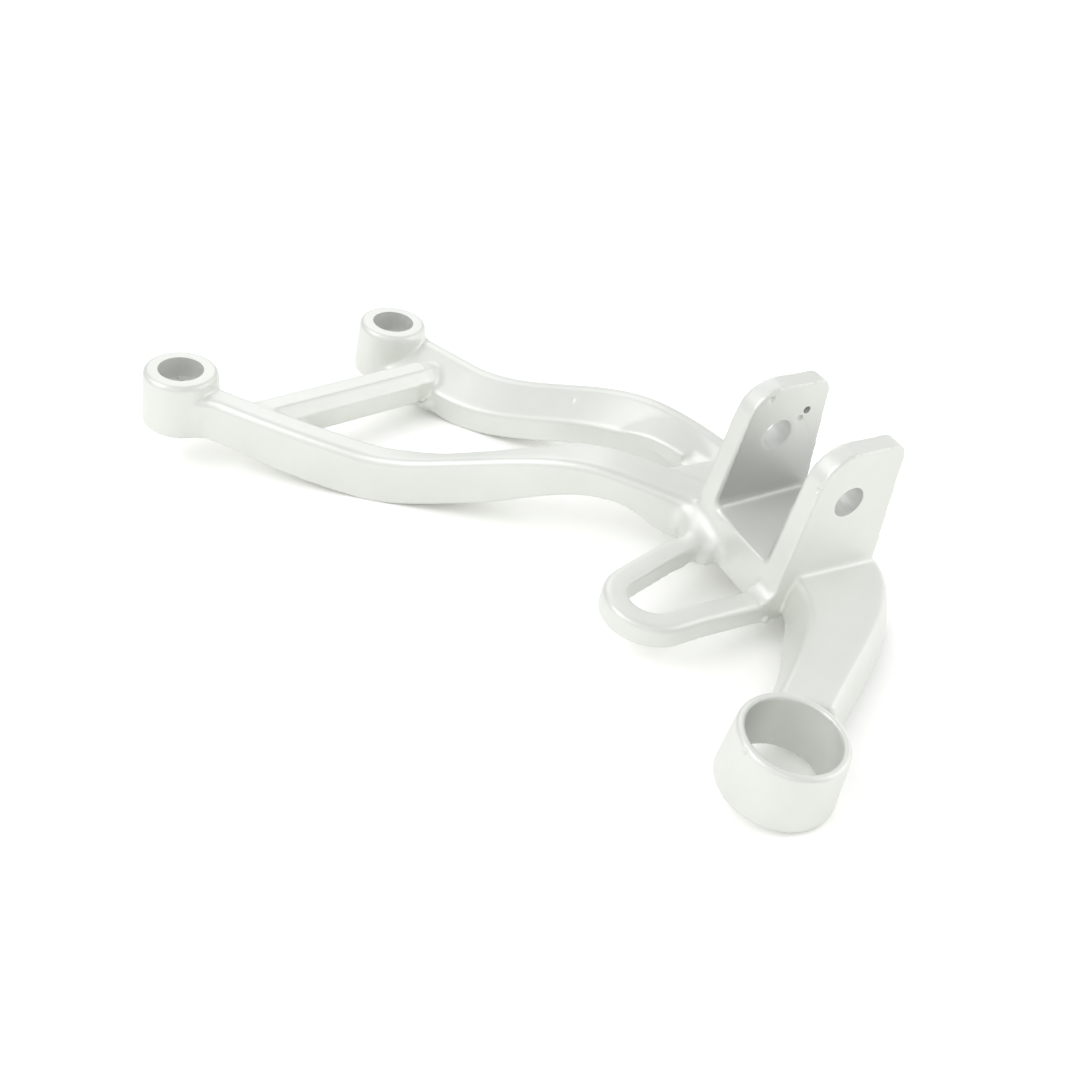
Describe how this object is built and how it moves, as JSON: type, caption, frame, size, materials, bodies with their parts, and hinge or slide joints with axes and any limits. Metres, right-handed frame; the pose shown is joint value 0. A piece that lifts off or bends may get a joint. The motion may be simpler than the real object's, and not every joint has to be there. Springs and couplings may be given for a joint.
{
  "type": "motorcycle footrest hanger",
  "caption": "Cast aluminium motorcycle footrest hanger: stepped arms run from the frame-bolt bosses to a folding-peg clevis, with a strap loop and an exhaust damper ring.",
  "frame": {"origin": "midway between the axes of the frame bolts, on the plane of the boss seat faces", "axes": "+Z outboard along the bolts, +Y from the front bolt to the rear bolt, +X from the bosses to the exhaust ring"},
  "size_m": [0.2416, 0.1271, 0.0765],
  "materials": {
    "body": "satin silver paint on cast aluminium"
  },
  "bodies": {
    "root": {"hanger": "body"}
  },
  "joints": []
}
